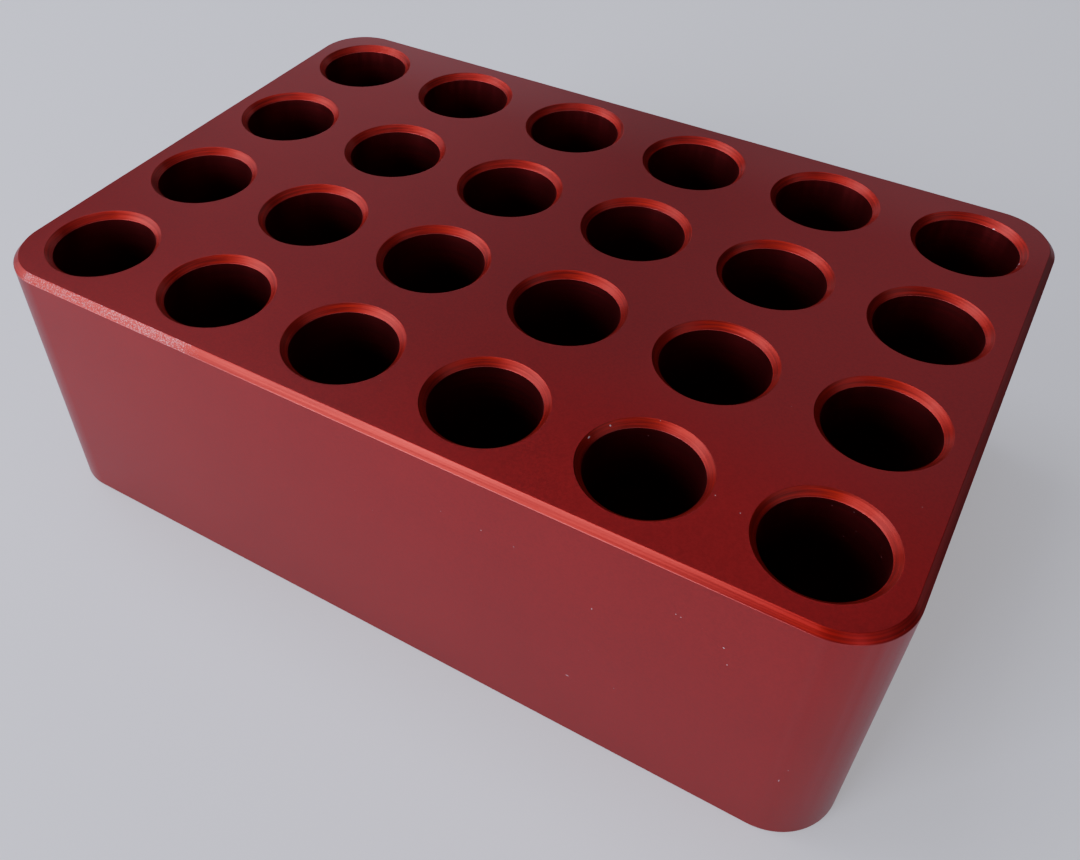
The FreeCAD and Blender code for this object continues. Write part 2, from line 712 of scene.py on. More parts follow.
@dataclass(frozen=True)
class Rub(Effect):
    """Pale flecks where an edge has been knocked and rubbed between two places.

    Attributes:
        fleck_size: Size of the flecks, in millimetres.
        start_fade: How far past the start they are at their densest.
        end_fade: How far before the end they grow fewer.
        sparse: Level of the noise above which flecks show where they are fewest.
        dense: Level above which they show where they cover all.
        softness: How far above that level they are at their palest.
        edge: Share of full density at which the stretch has its last flecks.
    """

    name = "rub"
    takes = ("Millimetres", "Start", "End", "Cover")
    fleck_size: float = 0.17
    start_fade: float = 1.4
    end_fade: float = 5.0
    sparse: float = 0.62
    dense: float = 0.46
    softness: float = 0.16
    edge: float = 0.25

    def draw(self, graph: Graph) -> Sockets:
        """Keep the flecks of a noise that lie between start and end along X.

        Args:
            graph: The group's graph, which has its inputs at hand.

        Returns:
            The group's outputs by name.
        """
        along = graph.axes(graph["Millimetres"])["X"]
        start, end = graph["Start"], graph["End"]
        rise = graph.ramp(along, start, graph.sum(Op.ADD, start, self.start_fade))
        fall = graph.ramp(along, end, graph.sum(Op.SUBTRACT, end, self.end_fade))
        inside = graph.product(rise, fall)
        flecks = graph.noise(
            graph["Millimetres"], self.fleck_size, detail=4.0, roughness=0.72
        )
        level = graph.spread(graph.product(graph["Cover"], inside), self.sparse, self.dense)
        shown = graph.ramp(flecks, level, graph.sum(Op.ADD, level, self.softness))
        return {"Mask": graph.product(graph.ramp(inside, 0.0, self.edge), shown)}


# Finishes


@dataclass(frozen=True)
class Mark:
    """A speck, fibre or nick, or a painted glint, that lies at one place on the block.

    Attributes:
        place: Its middle, in millimetres.
        reach: Half of its size along each axis, in millimetres.
    """

    place: Triple
    reach: Triple = (0.08, 0.08, 0.08)


@dataclass(frozen=True)
class RubbedStretch:
    """A stretch of the front chamfer with pale flecks.

    Attributes:
        start: Where it starts along the long side, in millimetres.
        end: Where it ends.
        cover: How densely the flecks lie, from 0 to 1.
    """

    start: float
    end: float
    cover: float


MOUTH_FIBRES = (
    Mark((23.9, -30.3, 41.5), (0.12, 0.28, 0.14)),
    Mark((25.15, -27.25, 41.45), (0.22, 0.12, 0.12)),
    Mark((29.95, -23.75, 41.75), (0.07, 0.07, 0.07)),
)
FACE_SPECKS = (
    Mark((33.5, -27.2, 41.8)),
    Mark((40.0, -31.4, 41.8)),
    Mark((43.3, -32.4, 41.8)),
    Mark((44.6, -32.3, 41.8), (0.11, 0.11, 0.11)),
    Mark((58.1, -36.9, 41.8), (0.16, 0.08, 0.08)),
    Mark((41.3, -42.8, 34.4)),
    Mark((41.9, -42.8, 34.3)),
    Mark((47.1, -42.8, 32.5), (0.14, 0.1, 0.1)),
    Mark((47.9, -42.8, 29.9)),
    Mark((31.6, -42.8, 28.4), (0.08, 0.1, 0.14)),
    Mark((29.3, -42.8, 12.6), (0.30, 0.1, 0.07)),
    Mark((35.6, -42.8, 14.9)),
    Mark((57.0, -42.7, 12.7), (0.08, 0.2, 0.4)),
    Mark((16.8, -42.8, 33.2)),
    Mark((21.2, -42.8, 33.0)),
)
BORE_SPECKS = (
    Mark((54.6, -24.7, 37.8)),
    Mark((53.5, -24.5, 36.0), (0.11, 0.11, 0.11)),
    Mark((58.1, -27.1, 38.1), (0.11, 0.11, 0.11)),
    Mark((51.3, -24.5, 40.0)),
    Mark((53.7, -24.5, 40.3)),
    Mark((57.8, -26.7, 39.0)),
    Mark((29.1, -24.8, 39.7), (0.12, 0.12, 0.09)),
)
# Two nicks in the oxide at the lip of the back right well, and a painted glint on the same lip.
BORE_NICKS_AND_GLINT = (
    Mark((59.60, 31.25, 40.95), (0.22, 0.34, 0.20)),
    Mark((59.50, 30.30, 40.90), (0.18, 0.22, 0.16)),
    # A painted glint of light, not a nick.
    Mark((54.69, 38.25, 40.92), (0.24, 0.12, 0.12)),
)
RUBBED_STRETCHES = (
    RubbedStretch(-57.6, -51.0, 1.0),
    RubbedStretch(-55.4, -35.0, 0.8),
    RubbedStretch(-42.0, -23.6, 0.9),
)


@dataclass(frozen=True)
class AnodisedFinish:
    """Clear and dyed oxide on aluminium; the surfaces differ in the marks under the oxide.

    Attributes:
        place: Measures where a point lies on the block.
        name: Name of the material.
        dye: Colour that the metal shows through the dyed oxide.
        edge_tint: How pale the metal turns at a glancing angle.
        rubbed: Colour where the oxide is rubbed, also the colour of the painted highlights
            along edges and of one painted glint.
        dust: Colour of dust.
        dust_roughness: Roughness of dust.
        roughness: Roughness of the metal.
        roughness_swing: How far the roughness wanders to each side.
        tone_swing: How far the dye's strength wanders to each side with the marks.
        cloud_swing: How far it wanders in wide clouds.
        mark_depth: Depth of the marks under the oxide, in millimetres.
        oxide_share: How strongly the oxide's surface reflects.
        oxide_roughness: Roughness of the oxide's surface.
        oxide_index: Refractive index of the oxide.
        worn_highlight_edge: Measure of the distance from the edge whose pale line is partly
            wear and partly a painted highlight.
        wear_highlight_width: Width of that line, in millimetres.
        wear_highlight_strength: How bare it is, from 0 to 1, which also sets how strong the
            painted highlight is.
        nicks_and_glint: Nicks in the oxide, and a painted glint.
        dust_spacing: From one speck of dust to the next, in millimetres.
        dust_size: Size of the largest specks.
        dust_share: Share of the places for a speck that have one.
        dust_strength: How much of the dust shows, from 0 to 1.
        specks: Specks and fibres that lie at places of their own.
    """

    place: BlockPlace
    name: str = "satin_oxide"
    dye: Triple = (0.262, 0.0088, 0.0108)
    edge_tint: Triple = (0.62, 0.62, 0.62)
    rubbed: Triple = (0.64, 0.33, 0.36)
    dust: Triple = (0.34, 0.25, 0.26)
    dust_roughness: float = 0.9
    roughness: float = 0.42
    roughness_swing: float = 0.03
    tone_swing: float = 0.09
    cloud_swing: float = 0.08
    mark_depth: float = 0.0016
    oxide_share: float = 0.49
    oxide_roughness: float = 0.42
    oxide_index: float = 1.5
    worn_highlight_edge: str = "Rim"
    wear_highlight_width: float = 0.05
    wear_highlight_strength: float = 0.12
    nicks_and_glint: tuple[Mark, ...] = ()
    dust_spacing: float = 2.6
    dust_size: float = 0.11
    dust_share: float = 0.35
    dust_strength: float = 1.0
    specks: tuple[Mark, ...] = FACE_SPECKS

    def build(self) -> bpy.types.Material:
        """Make the material.

        Returns:
            The material.
        """
        material = bpy.data.materials.new(self.name)
        material.use_nodes = True
        graph = Graph(material.node_tree, {})
        shader = material.node_tree.nodes["Principled BSDF"]
        coordinates = graph.node("ShaderNodeTexCoord")
        graph.given = graph.effect(self.place, Position=coordinates.outputs["Object"])
        height, tone = self.marks(graph)
        # Rubbed oxide, with painted highlights along edges and one painted glint.
        wear_and_highlight = self.wear_and_highlight(graph)
        dust = self.dust_mask(graph)
        cloud = graph.effect(DyeClouds())["Tone"]

        strength = graph.sum(
            Op.ADD,
            graph.spread(tone, 1.0 - self.tone_swing, 1.0 + self.tone_swing),
            graph.spread(cloud, -self.cloud_swing, self.cloud_swing),
        )
        dye, share = self.oxide(graph)
        dyed = graph.across(VectorOp.SCALE, dye, strength)
        colour = graph.mix(wear_and_highlight, dyed, (*self.rubbed, 1.0), colour=True)
        colour = graph.mix(dust, colour, (*self.dust, 1.0), colour=True)
        roughness = graph.spread(
            tone, self.roughness - self.roughness_swing, self.roughness + self.roughness_swing
        )
        covered = graph.mix(graph.sum(Op.GREATER, wear_and_highlight, dust), share, 0.0)
        bump = graph.node("ShaderNodeBump", Strength=1.0, Distance=MM, Height=height)
        shader.inputs["Specular Tint"].default_value = (*self.edge_tint, 1.0)
        shader.inputs["Coat Roughness"].default_value = self.oxide_roughness
        shader.inputs["Coat IOR"].default_value = self.oxide_index
        for label, value in (
            ("Base Color", colour),
            ("Metallic", graph.sum(Op.SUBTRACT, 1.0, dust)),
            ("Roughness", graph.mix(dust, roughness, self.dust_roughness)),
            ("Coat Weight", covered),
            ("Normal", bump.outputs["Normal"]),
        ):
            graph.feed(shader.inputs[label], value)
        return material

    def oxide(self, graph: Graph) -> tuple[Value, Value]:
        """The dyed oxide.

        Args:
            graph: The material's graph.

        Returns:
            The colour of the metal under it, and how strongly its surface reflects.
        """
        return self.dye, self.oxide_share

    def marks(self, graph: Graph) -> tuple[Socket, Socket]:
        """Marks under the oxide, here a satin grain.

        Args:
            graph: The material's graph.

        Returns:
            Their height in millimetres, and how they lighten the dye, round 0.5.
        """
        grain = graph.effect(SatinGrain())
        return graph.product(grain["Height"], self.mark_depth), grain["Tone"]

    def wear_and_highlight(self, graph: Graph) -> Socket:
        """A thin pale line along an edge, partly wear and partly a painted highlight, and small
        nicked spots, one of them a painted glint.

        Args:
            graph: The material's graph.

        Returns:
            Where the oxide is rubbed, and where highlight and glint are painted, from 0 to 1.
        """
        # Pale line along the edge: partly wear, partly a painted highlight.
        line = graph.effect(
            EdgeWearAndHighlight(), Distance=graph[self.worn_highlight_edge], Width=self.wear_highlight_width
        )
        line = graph.product(line["Mask"], self.wear_highlight_strength)
        return graph.gather(line, self.nicks_and_glint)

    def dust_mask(self, graph: Graph) -> Socket:
        """Scattered dust, and the specks at places of their own.

        Args:
            graph: The material's graph.

        Returns:
            Where dust lies, from 0 to 1.
        """
        scattered = graph.effect(
            Dust(),
            Spacing=self.dust_spacing,
            Size=self.dust_size,
            Share=self.dust_share,
        )
        dusty = graph.gather(scattered["Mask"], self.specks)
        return graph.product(dusty, self.dust_strength)


@dataclass(frozen=True)
class SatinFace(AnodisedFinish):
    """The large faces, with painted reflection on the top: a deeper red on its front right and
    more gloss at its back.

    Attributes:
        painted_reflection_dye: Colour of the deeper red, a painted reflection.
        painted_reflection_share: How strongly the oxide's surface reflects there, lowered as
            part of that painted reflection.
        deep_x: Where the deeper red starts and is full along the long side, in millimetres.
        deep_y: The same along the short side.
        painted_sheen_share: How strongly the oxide's surface reflects at the back of the top,
            raised as a painted sheen.
        back_y: Where that starts and is full along the short side, in millimetres.
        top_depth: How far below the top plane both end, in millimetres.
    """

    # Painted reflection on the top: deeper red and less gloss at its front right, more gloss at
    # its back.
    painted_reflection_dye: Triple = (0.348, 0.0105, 0.0125)
    painted_reflection_share: float = 0.31
    deep_x: Pair = (-14.0, 30.0)
    deep_y: Pair = (-6.0, -38.0)
    painted_sheen_share: float = 0.78
    back_y: Pair = (24.0, 42.0)
    top_depth: float = 0.1

    def oxide(self, graph: Graph) -> tuple[Value, Value]:
        """The dyed oxide, with painted reflection over the top: a deeper red on its front
        right, more gloss at its back.

        Args:
            graph: The material's graph.

        Returns:
            The colour of the metal under it, and how strongly its surface reflects.
        """
        parts = graph.axes(graph["Millimetres"])
        right = graph.ramp(parts["X"], *self.deep_x)
        near = graph.ramp(parts["Y"], *self.deep_y)
        on_top = graph.ramp(graph["Drop"], self.top_depth, 0.0)
        # Painted reflection: deeper red and less gloss on the front right of the top, more
        # gloss at its back.
        deep = graph.product(right, near, on_top)
        back = graph.product(graph.ramp(parts["Y"], *self.back_y), on_top)
        share = graph.mix(deep, self.oxide_share, self.painted_reflection_share)
        return (
            graph.mix(deep, (*self.dye, 1.0), (*self.painted_reflection_dye, 1.0), colour=True),
            graph.mix(back, share, self.painted_sheen_share),
        )


@dataclass(frozen=True)
class CutFinish(AnodisedFinish):
    """A surface with the lines of a cutter under the oxide.

    Attributes:
        counted: The measures whose sum the lines are counted by.
        line_spacing: From line to line, in millimetres.
        line_length: How far a line goes before it changes.
    """

    counted: tuple[str, ...] = ("Drop",)
    line_spacing: float = 0.12
    line_length: float = 16.0
    mark_depth: float = 0.003

    def marks(self, graph: Graph) -> tuple[Socket, Socket]:
        """Lines under the oxide.

        Args:
            graph: The material's graph.

        Returns:
            Their height in millimetres, and how they lighten the dye, round 0.5.
        """
        across = graph[self.counted[0]]
        for measure in self.counted[1:]:
            across = graph.sum(Op.ADD, across, graph[measure])
        lines = graph.effect(
            CutterLines(),
            Across=across,
            Spacing=self.line_spacing,
            Length=self.line_length,
        )
        return graph.product(lines["Height"], self.mark_depth), lines["Tone"]


@dataclass(frozen=True)
class MilledChamfer(CutFinish):
    """The chamfer round the top: lengthwise lines, a painted highlight of paler dye and more
    gloss along the front, rubbed at its left.

    Attributes:
        painted_highlight_dye: Paler colour that the metal shows along the front, a painted
            highlight.
        painted_highlight_share: How strongly the oxide's surface reflects there, raised as part
            of that painted highlight.
        front_depth: How far behind the block's front that stretch reaches, in millimetres.
        front_fade: How far before the right corner it starts to fade.
        fleck_strength: How bare the rubbed flecks are, from 0 to 1.
    """

    name: str = "milled_chamfer"
    dye: Triple = (0.285, 0.0096, 0.0094)
    tone_swing: float = 0.25
    oxide_share: float = 0.20
    oxide_roughness: float = 0.32
    wear_highlight_width: float = 0.11
    wear_highlight_strength: float = 0.08
    dust_size: float = 0.08
    dust_share: float = 0.3
    specks: tuple[Mark, ...] = ()
    # Painted highlight along the front stretch: paler dye and more gloss.
    painted_highlight_dye: Triple = (0.330, 0.0165, 0.0145)
    painted_highlight_share: float = 0.30
    front_depth: float = 2.0
    front_fade: float = 14.0
    fleck_strength: float = 0.55

    def front(self, graph: Graph) -> Socket:
        """The stretch along the front, up to the start of the right corner.

        Args:
            graph: The material's graph.

        Returns:
            Where it lies, from 0 to 1.
        """
        parts = graph.axes(graph["Millimetres"])
        ahead = graph.sum(Op.BELOW, parts["Y"], self.front_depth - self.place.high.y)
        end = self.place.high.x - self.place.corner_radius
        return graph.product(ahead, graph.ramp(parts["X"], end, end - self.front_fade))

    def oxide(self, graph: Graph) -> tuple[Value, Value]:
        """The dyed oxide, with a painted highlight along the front: paler dye and more gloss.

        Args:
            graph: The material's graph.

        Returns:
            The colour of the metal under it, and how strongly its surface reflects.
        """
        front = self.front(graph)
        # Painted highlight: paler dye and more gloss along the front stretch.
        return (
            graph.mix(front, (*self.dye, 1.0), (*self.painted_highlight_dye, 1.0), colour=True),
            graph.mix(front, self.oxide_share, self.painted_highlight_share),
        )

    def wear_and_highlight(self, graph: Graph) -> Socket:
        """The lower edge all round, partly wear and partly a painted highlight, and flecks on
        the front left stretch.

        Args:
            graph: The material's graph.

        Returns:
            Where the oxide is rubbed, and where a highlight is painted along the edge, from 0
            to 1.
        """
        # Pale line along the lower edge, partly wear and partly a painted highlight.
        rubbed = super().wear_and_highlight(graph)
        share = graph.product(self.front(graph), self.fleck_strength)
        for stretch in RUBBED_STRETCHES:
            flecks = graph.effect(
                Rub(), Start=stretch.start, End=stretch.end, Cover=stretch.cover
            )
            on_front = graph.product(flecks["Mask"], share)
            rubbed = graph.sum(Op.GREATER, rubbed, on_front)
        return rubbed


@dataclass(frozen=True)
class TurnedMouth(CutFinish):
    """The chamfers of the well mouths: fine circular lines."""

    name: str = "turned_mouth"
    dye: Triple = (0.315, 0.0125, 0.0092)
    roughness: float = 0.50
    counted: tuple[str, ...] = ("Well Radius",)
    line_spacing: float = 0.11
    line_length: float = 5.0
    tone_swing: float = 0.34
    oxide_share: float = 0.42
    oxide_roughness: float = 0.34
    worn_highlight_edge: str = "Lip"
    wear_highlight_width: float = 0.07
    wear_highlight_strength: float = 0.08
    nicks_and_glint: tuple[Mark, ...] = BORE_NICKS_AND_GLINT
    dust_spacing: float = 2.4
    dust_size: float = 0.1
    dust_share: float = 0.3
    specks: tuple[Mark, ...] = MOUTH_FIBRES


@dataclass(frozen=True)
class BoredWall(CutFinish):
    """Bores and their floors: rings down the wall and across the floor, under faint lint, in a
    darker dye that paints shade into the bores.
    """

    name: str = "bored_wall"
    # The darker, purpler dye is painted shade inside the bores.
    dye: Triple = (0.220, 0.0045, 0.0080)
    counted: tuple[str, ...] = ("Drop", "Well Radius")
    line_spacing: float = 0.16
    line_length: float = 20.0
    tone_swing: float = 0.05
    worn_highlight_edge: str = "Lip"
    wear_highlight_strength: float = 0.1
    nicks_and_glint: tuple[Mark, ...] = BORE_NICKS_AND_GLINT
    dust_spacing: float = 2.0
    dust_size: float = 0.09
    dust_share: float = 0.4
    dust_strength: float = 0.4
    specks: tuple[Mark, ...] = BORE_SPECKS


# The wells


@dataclass(frozen=True)
class Well:
    """One blind well: a chamfered mouth, a straight bore and a flat floor with a broken corner.

    It is built in millimetres round the upright axis through the origin, its mouth at height
    zero, with a narrow collar of the top face round it.

    Attributes:
        bore_radius: Radius of the straight bore.
        depth: From the mouth down to the floor.
        mouth_chamfer: Width and height of the chamfer at the mouth.
        floor_chamfer: Width and height of the chamfer at the corner of the floor.
        collar: Width of the collar.
        edge_softness: How far the sharpness is taken off the edges at the mouth.
        softness_steps: Number of strips that round such an edge.
        sides: Number of sides of the circles.
        bore_rings: Number of rings down the bore.
        floor_rings: Radii of the rings on the floor.
    """

    bore_radius: float = 7.1
    depth: float = 37.0
    mouth_chamfer: float = 0.9
    floor_chamfer: float = 0.8
    collar: float = 0.22
    edge_softness: float = 0.025
    softness_steps: int = 3
    sides: int = 128
    bore_rings: int = 6
    floor_rings: tuple[float, ...] = (4.4, 2.0, 0.6)

    @property
    def mouth_radius(self) -> float:
        """Radius at the top plane."""
        return self.bore_radius + self.mouth_chamfer

    def build(self) -> Piece:
        """Draw the well from its collar down to its floor.

        Returns:
            The well, an open mesh.
        """
        radius = self.mouth_radius + self.collar
        bpy.ops.object.select_all(action="DESELECT")
        bpy.ops.mesh.primitive_circle_add(
            vertices=self.sides, radius=radius, fill_type="NOTHING"
        )
        well = bpy.context.object
        well.name = "well"
        start_editing(well)
        bpy.ops.mesh.select_mode(type="EDGE")
        bpy.ops.mesh.select_all(action="SELECT")
        radius = self.step_in(radius, self.mouth_radius, 0.0)
        radius = self.step_in(radius, self.bore_radius, self.mouth_chamfer)
        straight = self.depth - self.mouth_chamfer - self.floor_chamfer
        for _ in range(self.bore_rings):
            radius = self.step_in(radius, self.bore_radius, straight / self.bore_rings)
        radius = self.step_in(radius, self.bore_radius - self.floor_chamfer, self.floor_chamfer)
        for ring in self.floor_rings:
            radius = self.step_in(radius, ring, 0.0)
        bpy.ops.mesh.extrude_edges_move()
        bpy.ops.mesh.merge(type="CENTER")
        self.soften_edges()
        stop_editing()
        return well

    def step_in(self, radius: float, new_radius: float, drop: float) -> float:
        """Extrude the open ring to the next ring of the section.

        Args:
            radius: Radius of the open ring.
            new_radius: Radius of the next ring.
            drop: How far the next ring lies below the open one.

        Returns:
            The next ring's radius.
        """
        bpy.ops.mesh.extrude_edges_move(TRANSFORM_OT_translate={"value": (0.0, 0.0, -drop)})
        share = new_radius / radius
        bpy.ops.transform.resize(value=(share, share, 1.0), center_override=(0.0, 0.0, 0.0))
        return new_radius

    def soften_edges(self) -> None:
        """Take the sharpness off both edges of the mouth chamfer."""

        def along(start: Vector, end: Vector) -> bool:
            """Whether an edge runs round the well, above or below the mouth chamfer.

            Args:
                start: One end of the edge.
                end: Its other end.

            Returns:
                True if both ends lie on one of the two circles.
            """
            circles = ((self.mouth_radius, 0.0), (self.bore_radius, -self.mouth_chamfer))
            return any(
                all(
                    abs(place.z - level) < TOUCH
                    and abs(math.hypot(place.x, place.y) - radius) < TOUCH
                    for place in (start, end)
                )
                for radius, level in circles
            )

        pick(Element.EDGE, along)
        bevel(self.edge_softness, self.softness_steps)


# The block


@dataclass(frozen=True)
class CoolingBlock:
    """The whole block: its outside, and one well modelled once and copied to each place.

    Attributes:
        low: Lowest corner of the block, in millimetres.
        high: Highest corner of the block, in millimetres.
        places: Where the wells' axes stand.
        well: The well that is copied.
        corner_radius: Radius of the upright corners.
        corner_steps: Number of strips round each of them.
        edge_chamfer: Width and height of the chamfer round the top.
        base_chamfer: Width and height of the broken edge of the underside.
        edge_softness: How far the sharpness is taken off the edges round the top.
        smooth_angle: Greatest angle, in degrees, over which the shading runs on.
    """

    low: Vector
    high: Vector
    places: tuple[Pair, ...]
    well: Well
    corner_radius: float = 8.7
    corner_steps: int = 28
    edge_chamfer: float = 0.9
    base_chamfer: float = 0.3
    edge_softness: float = 0.035
    smooth_angle: float = 30.0

    def build(self) -> Piece:
        """Model the block and close it.

        Returns:
            The finished block, in metres, in place.
        """
        block = self.build_outside()
        wells = self.copy_wells()
        choose(block)
        for well in wells:
            well.select_set(True)
        bpy.ops.object.join()
        self.close_top(block)
        self.sort_faces(block)
        self.smooth(block)
        start_editing(block)
        bpy.ops.mesh.select_all(action="SELECT")
        bpy.ops.transform.resize(value=(MM, MM, MM), center_override=(0.0, 0.0, 0.0))
        stop_editing()
        return block

    def build_outside(self) -> Piece:
        """Shape the outside from a box, and leave its top open inside a narrow collar.

        Returns:
            The outside, an open mesh.
        """
        middle, size = (self.low + self.high) / 2, self.high - self.low
        top, foot = self.high.z, self.low.z
        bpy.ops.object.select_all(action="DESELECT")
        bpy.ops.mesh.primitive_cube_add(size=1.0, location=middle, scale=size)
        block = bpy.context.object
        block.name = "block"
        bpy.ops.object.transform_apply(location=True, rotation=True, scale=True)
        start_editing(block)

        pick(Element.EDGE, lambda start, end: abs(start.z - end.z) > TOUCH)
        bevel(self.corner_radius, self.corner_steps)
        pick(Element.EDGE, both(lambda place: abs(place.z - top) < TOUCH))
        bevel(self.edge_chamfer, 1)
        pick(Element.EDGE, both(lambda place: abs(place.z - foot) < TOUCH))
        bevel(self.base_chamfer, 1)
        pick(Element.FACE, lambda centre, normal: normal.z > 1.0 - TOUCH)
        bpy.ops.mesh.inset(thickness=self.well.collar)
        bpy.ops.mesh.delete(type="ONLY_FACE")
        for level in (top, top - self.edge_chamfer):
            pick(Element.EDGE, both(lambda place: abs(place.z - level) < TOUCH))
            if level == top:
                self.drop_collar_edges()
            bevel(self.edge_softness, self.well.softness_steps)
        stop_editing()
        return block

    def drop_collar_edges(self) -> None:
        """Keep, of the picked edges, only those along the upper edge of the chamfer."""
        top, tolerance = self.high.z, self.well.collar / 4
        round_off = self.corner_radius - self.edge_chamfer

        def gap(place: Vector) -> float:
            """Distance of a point from the outline of the top face.

            Args:
                place: The point, in the plane of the top.

            Returns:
                The distance, in millimetres.
            """
            far_x = max(abs(place.x) - self.high.x + self.corner_radius, 0.0)
            far_y = max(abs(place.y) - self.high.y + self.corner_radius, 0.0)
            return abs(math.hypot(far_x, far_y) - round_off)

        pick(
            Element.EDGE,
            both(lambda place: abs(place.z - top) < TOUCH and gap(place) < tolerance),
        )

    def copy_wells(self) -> list[Piece]:
        """Put a copy of the well at each place.

        Returns:
            The wells, each with its own mesh.
        """
        first = self.well.build()
        wells = [first]
        for _ in self.places[1:]:
            choose(first)
            bpy.ops.object.duplicate(linked=False)
            wells.append(bpy.context.object)
        for well, (x, y) in zip(wells, self.places):
            choose(well)
            bpy.ops.transform.translate(value=(x, y, self.high.z))
            bpy.ops.object.transform_apply(location=True, rotation=True, scale=True)
        return wells

    def close_top(self, block: Piece) -> None:
        """Fill the top face between the outer collar and the collars of the wells.

        Args:
            block: The outside and the wells, joined.
        """
        start_editing(block)
        bpy.ops.mesh.select_mode(type="EDGE")
        bpy.ops.mesh.select_all(action="DESELECT")
        for edge in bmesh.from_edit_mesh(block.data).edges:
            if edge.is_boundary:
                edge.select_set(True)
        bmesh.update_edit_mesh(block.data)
        bpy.ops.mesh.fill(use_beauty=True)
        bpy.ops.mesh.select_all(action="SELECT")
        bpy.ops.mesh.normals_make_consistent(inside=False)
        stop_editing()

    def sort_faces(self, block: Piece) -> None:
        """Give each face the material slot of the surface that it belongs to.

        Args:
            block: The closed block, in millimetres.
        """
        below_top = self.high.z - TOUCH / 10
        chamfer_foot = self.high.z - self.edge_chamfer - self.edge_softness
        mouth_foot = self.high.z - self.well.mouth_chamfer - self.well.edge_softness
        mouth_reach = self.well.mouth_radius + self.well.edge_softness
        for face in block.data.polygons:
            centre = face.center
            reach = min(math.hypot(centre.x - x, centre.y - y) for x, y in self.places)
            surface = Surface.SATIN
            if reach < mouth_reach and centre.z < below_top:
                surface = Surface.TURNED if centre.z > mouth_foot else Surface.BORED
            elif chamfer_foot < centre.z < below_top:
                surface = Surface.MILLED
            face.material_index = surface.value

    def dress(self, block: Piece) -> None:
        """Give each surface its finish.

        Args:
            block: The finished block.
        """
        place = BlockPlace(
            high=self.high,
            corner_radius=self.corner_radius,
            edge_chamfer=self.edge_chamfer,
            first_well=self.places[0],
            pitch=self.pitch,
            well=self.well,
        )
        finishes = {
            Surface.SATIN: SatinFace(place),
            Surface.MILLED: MilledChamfer(place),
            Surface.TURNED: TurnedMouth(place),
            Surface.BORED: BoredWall(place),
        }
        for surface in Surface:
            block.data.materials.append(finishes[surface].build())
            log.info("finish %s", finishes[surface].name)

    @property
    def pitch(self) -> float:
        """Distance from one well to the next."""
        (first_x, _), (next_x, _) = self.places[:2]
        return abs(next_x - first_x)

    def smooth(self, block: Piece) -> None:
        """Shade the rounded strips smoothly and keep the large faces flat.

        The weighing of the faces needs the mesh in millimetres: in metres their areas are too
        small for it.

        Args:
            block: The finished mesh, in millimetres.
        """
        choose(block)
        bpy.ops.object.shade_smooth_by_angle(angle=math.radians(self.smooth_angle))
        bpy.ops.object.modifier_add(type="WEIGHTED_NORMAL")
        modifier = block.modifiers[-1]
        modifier.mode = "FACE_AREA"
        modifier.keep_sharp = True
        bpy.ops.object.modifier_apply(modifier=modifier.name)


# The scene round the block


@dataclass(frozen=True)
class Camera:
    """The photograph's point of view.

    Attributes:
        place: Where it stands, in metres.
        turn: How it is turned, in degrees round X, Y and Z.
        lens: Focal length, in millimetres.
        sensor: Width of the sensor.
        shift: How far the picture is moved, as shares of its width.
        reach: Nearest and farthest distance that it sees, in metres.
    """

    place: Triple = (0.0592, -0.111237, 0.130542)
    turn: Triple = (46.1795, -0.12689, 30.8318)
    lens: float = 35.889
    sensor: float = 36.0
    shift: Pair = (0.04231, -0.02212)
    reach: Pair = (0.005, 20.0)

    def build(self) -> None:
        """Set up the camera and make it the scene's."""
        data = bpy.data.cameras.new("camera")
        data.lens, data.sensor_width = self.lens, self.sensor
        data.shift_x, data.shift_y = self.shift
        data.clip_start, data.clip_end = self.reach
        camera = bpy.data.objects.new("camera", data)
        camera.location = self.place
        camera.rotation_euler = [math.radians(angle) for angle in self.turn]
        bpy.context.scene.collection.objects.link(camera)
        bpy.context.scene.camera = camera


@dataclass(frozen=True)
class SoftLamp:
    """A square soft lamp that faces the block.

    Attributes:
        name: What the lamp is for.
        azimuth: Side that it stands on, in degrees from the front, rising to the right.
        elevation: Height above the horizon, in degrees.
        power: Power in watts.
        distance: Distance from the block, in metres.
        size: Side of the lamp, in metres.
        colour: Colour of its light.
    """

    name: str
    azimuth: float
    elevation: float
    power: float
    distance: float = 0.9
    size: float = 0.5
    colour: Triple = (1.0, 1.0, 1.16)

    def build(self, target: Vector) -> None:
        """Hang the lamp.

        Args:
            target: The point that it faces.
        """
        data = bpy.data.lights.new(self.name, "AREA")
        data.shape, data.size = "SQUARE", self.size
        data.energy, data.color = self.power, self.colour
        side, rise = math.radians(self.azimuth), math.radians(self.elevation)
        away = Vector(
            (
                math.sin(side) * math.cos(rise),
                -math.cos(side) * math.cos(rise),
                math.sin(rise),
            )
        )
        lamp = bpy.data.objects.new(self.name, data)
        lamp.location = target + away * self.distance
        lamp.rotation_euler = away.to_track_quat("Z", "Y").to_euler()
        bpy.context.scene.collection.objects.link(lamp)


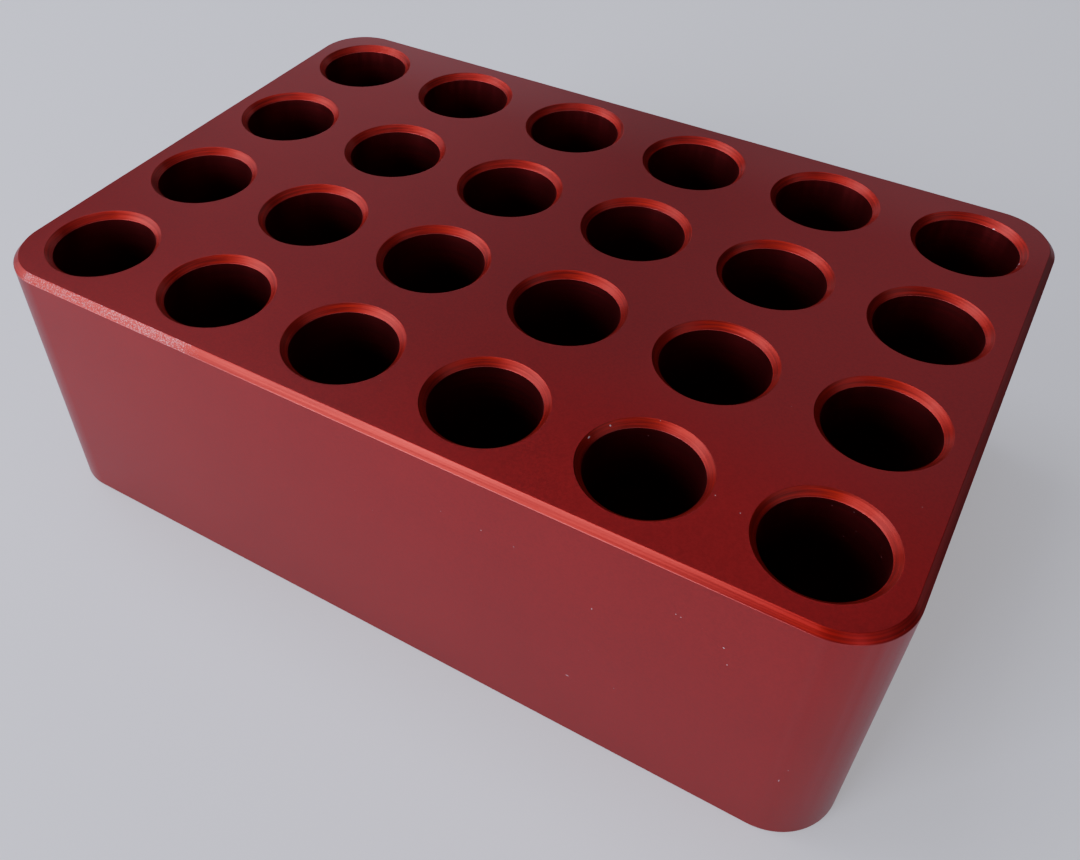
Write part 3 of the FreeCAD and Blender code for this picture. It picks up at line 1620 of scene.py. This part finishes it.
@dataclass(frozen=True)
class PaleFloor:
    """The plain floor that the block stands on.

    Attributes:
        radius: Radius of the floor, in metres.
        sides: Number of its corners.
        colour: Colour that light falls on.
        roughness: How dull it is.
        white_share: How much plain white the eye and mirror images see in place of that.
    """

    radius: float = 6.0
    sides: int = 96
    colour: Triple = (0.77, 0.79, 0.88)
    roughness: float = 0.9
    white_share: float = 0.29

    def build(self) -> None:
        """Lay the floor."""
        bpy.ops.object.select_all(action="DESELECT")
        bpy.ops.mesh.primitive_circle_add(
            vertices=self.sides, radius=self.radius, fill_type="NGON"
        )
        floor = bpy.context.object
        floor.name = "floor"
        floor.data.materials.append(self.finish())

    def finish(self) -> bpy.types.Material:
        """Make the floor's material.

        Returns:
            The material.
        """
        material = bpy.data.materials.new("pale_floor")
        material.use_nodes = True
        graph = Graph(material.node_tree, {})
        shader = material.node_tree.nodes["Principled BSDF"]
        shader.inputs["Base Color"].default_value = (*self.colour, 1.0)
        shader.inputs["Roughness"].default_value = self.roughness
        shader.inputs["Specular IOR Level"].default_value = 0.0
        path = graph.node("ShaderNodeLightPath").outputs
        seen = graph.sum(Op.GREATER, path["Is Camera Ray"], path["Is Glossy Ray"])
        seen = graph.sum(Op.GREATER, seen, path["Is Transmission Ray"])
        white = graph.node("ShaderNodeEmission", Strength=1.0)
        mixed = graph.node("ShaderNodeMixShader")
        share = graph.product(seen, self.white_share)
        given = (share, shader.outputs["BSDF"], white.outputs["Emission"])
        for socket, value in zip(mixed.inputs, given):
            graph.feed(socket, value)
        end = material.node_tree.nodes["Material Output"]
        graph.feed(end.inputs["Surface"], mixed.outputs["Shader"])
        return material


@dataclass(frozen=True)
class Studio:
    """Floor, surroundings and lamps.

    Attributes:
        floor: The floor.
        world_colour: Colour of the dim light all round.
        lamps: The lamps.
    """

    floor: PaleFloor = PaleFloor()
    world_colour: Triple = (0.023, 0.023, 0.027)
    lamps: tuple[SoftLamp, ...] = (
        SoftLamp("front_left", azimuth=-22.0, elevation=15.0, power=9.30),
        SoftLamp("left", azimuth=-60.0, elevation=26.0, power=2.00),
        SoftLamp("left_high", azimuth=-90.0, elevation=60.0, power=3.12),
        SoftLamp("left_low", azimuth=-90.0, elevation=15.0, power=0.90),
        SoftLamp("overhead", azimuth=0.0, elevation=88.0, power=1.15),
        SoftLamp("right", azimuth=45.0, elevation=15.0, power=1.90),
        SoftLamp("right_side", azimuth=90.0, elevation=38.0, power=0.52),
        SoftLamp("back_left", azimuth=-140.0, elevation=20.0, power=0.63),
        SoftLamp("back", azimuth=180.0, elevation=38.0, power=0.54),
    )

    def build(self, centre: Vector) -> None:
        """Lay the floor, colour the surroundings and hang the lamps.

        Args:
            centre: Middle of the block.
        """
        self.floor.build()
        self.colour_world()
        for lamp in self.lamps:
            lamp.build(centre)
            log.info("lamp %s", lamp.name)

    def colour_world(self) -> None:
        """Surround the scene with plain dim light."""
        world = bpy.data.worlds.new("surroundings")
        world.use_nodes = True
        background = world.node_tree.nodes["Background"]
        background.inputs["Color"].default_value = (*self.world_colour, 1.0)
        bpy.context.scene.world = world


def well_places() -> tuple[Pair, ...]:
    """Read the wells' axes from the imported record, in millimetres.

    Returns:
        One (x, y) for each well.
    """
    mounts = frame["record"]["mounts"]
    return tuple(
        (mount["pos_m"][0] / MM, mount["pos_m"][1] / MM)
        for mount in mounts
        if mount["kind"] == "bore"
    )


def main() -> None:
    """Build the block and the scene round it."""
    logging.basicConfig(level=logging.INFO, format="%(name)s: %(message)s")
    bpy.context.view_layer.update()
    low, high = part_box(NODE)
    maker = CoolingBlock(low / MM, high / MM, well_places(), Well())
    block = maker.build()
    block.name = "anodised_block"
    maker.dress(block)
    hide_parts(NODE)
    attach(block, BODY)
    log.info("%s: %d faces", block.name, len(block.data.polygons))

    Camera().build()
    Studio().build((low + high) / 2)


if __name__ == "__main__":
    main()
